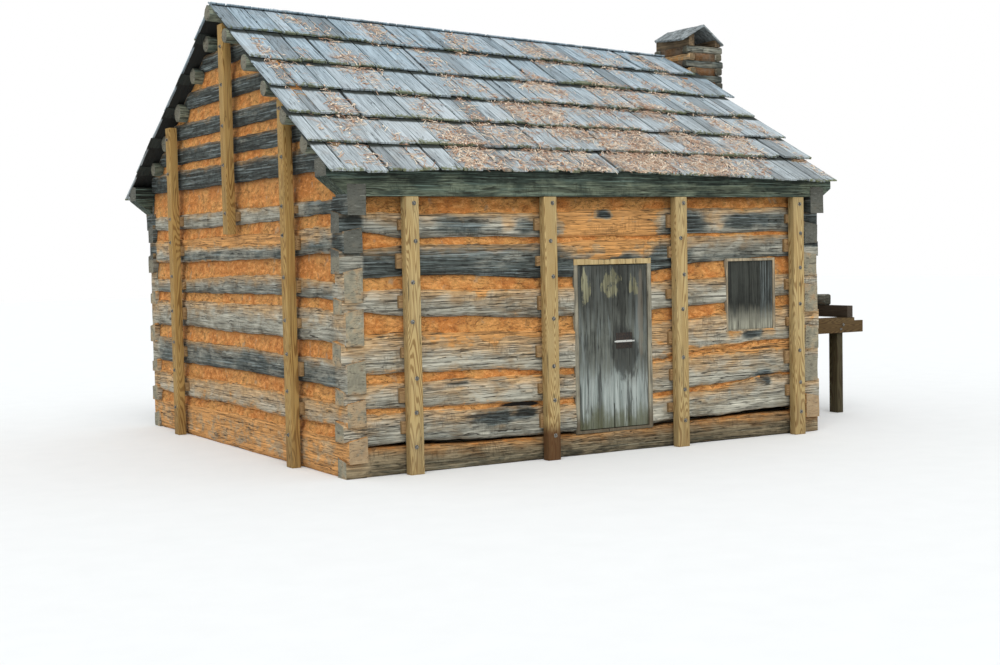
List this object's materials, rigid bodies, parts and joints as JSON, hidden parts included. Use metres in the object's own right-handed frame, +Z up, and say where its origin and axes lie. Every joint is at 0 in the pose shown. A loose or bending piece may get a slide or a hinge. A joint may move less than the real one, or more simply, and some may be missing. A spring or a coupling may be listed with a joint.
{
  "type": "log cabin",
  "caption": "Small hewn log cabin with clay chinking, shake roof, plank door, shuttered window, bracing posts and a pole-and-clay chimney on a shoring frame.",
  "frame": {"origin": "middle of the bounding box in plan, at the lowest ground level under the walls", "axes": "+X to the right along the front wall toward the chimney, +Y from the front wall to the back wall, +Z up"},
  "size_m": [7.522, 6.0554, 4.706],
  "materials": {
    "back_clay": "clay daub",
    "back_logs": "weathered hewn log",
    "back_posts": "treated sawn timber",
    "chimney_cap": "weathered boards",
    "chimney_clay": "clay daub",
    "chimney_firebox": "fieldstone and clay",
    "chimney_footing": "mossy fieldstone",
    "chimney_poles_back": "weathered hewn log",
    "chimney_poles_front": "weathered hewn log",
    "chimney_poles_left": "weathered hewn log",
    "chimney_poles_right": "weathered hewn log",
    "door_frame": "weathered boards",
    "door_ironwork": "rusted iron",
    "door_leaf": "weathered boards",
    "eave_log_back": "weathered hewn log",
    "eave_log_front": "weathered hewn log",
    "floor": "weathered hewn log",
    "front_clay_left": "clay daub",
    "front_clay_over": "clay daub",
    "front_clay_right": "clay daub",
    "front_logs_left": "weathered hewn log",
    "front_logs_over": "weathered hewn log",
    "front_logs_right": "weathered hewn log",
    "front_posts": "treated sawn timber",
    "front_sill_log": "weathered hewn log",
    "hinge_pintles": "rusted iron",
    "left_clay": "clay daub",
    "left_logs": "weathered hewn log",
    "left_posts": "treated sawn timber",
    "purlins_back": "weathered hewn log",
    "purlins_front": "weathered hewn log",
    "ridge_pole": "weathered hewn log",
    "right_clay_low": "clay daub",
    "right_clay_over": "clay daub",
    "right_logs_low": "weathered hewn log",
    "right_logs_over": "weathered hewn log",
    "right_posts": "treated sawn timber",
    "roof_back": "weathered riven shakes",
    "roof_front": "weathered riven shakes",
    "shore_needles": "treated sawn timber",
    "shore_posts": "treated sawn timber",
    "shore_rails": "treated sawn timber",
    "spacer_blocks": "treated sawn timber",
    "window_frame": "weathered boards",
    "window_shutter": "weathered boards"
  },
  "bodies": {
    "cabin": {"back_clay": "back_clay", "back_logs": "back_logs", "back_posts": "back_posts", "chimney_cap": "chimney_cap", "chimney_clay": "chimney_clay", "chimney_firebox": "chimney_firebox", "chimney_footing": "chimney_footing", "chimney_poles_back": "chimney_poles_back", "chimney_poles_front": "chimney_poles_front", "chimney_poles_left": "chimney_poles_left", "chimney_poles_right": "chimney_poles_right", "door_frame": "door_frame", "eave_log_back": "eave_log_back", "eave_log_front": "eave_log_front", "floor": "floor", "front_clay_left": "front_clay_left", "front_clay_over": "front_clay_over", "front_clay_right": "front_clay_right", "front_logs_left": "front_logs_left", "front_logs_over": "front_logs_over", "front_logs_right": "front_logs_right", "front_posts": "front_posts", "front_sill_log": "front_sill_log", "hinge_pintles": "hinge_pintles", "left_clay": "left_clay", "left_logs": "left_logs", "left_posts": "left_posts", "purlins_back": "purlins_back", "purlins_front": "purlins_front", "ridge_pole": "ridge_pole", "right_clay_low": "right_clay_low", "right_clay_over": "right_clay_over", "right_logs_low": "right_logs_low", "right_logs_over": "right_logs_over", "right_posts": "right_posts", "roof_back": "roof_back", "roof_front": "roof_front", "shore_needles": "shore_needles", "shore_posts": "shore_posts", "shore_rails": "shore_rails", "spacer_blocks": "spacer_blocks", "window_frame": "window_frame", "window_shutter": "window_shutter"},
    "door": {"door_leaf": "door_leaf", "door_ironwork": "door_ironwork"}
  },
  "joints": [
    {"name": "door_hinge", "type": "hinge", "parent": "cabin", "child": "door", "pos_m": [-1.048, -2.678, 1.06], "axis": [0, 0, 1], "range_deg": [0, 84]}
  ]
}
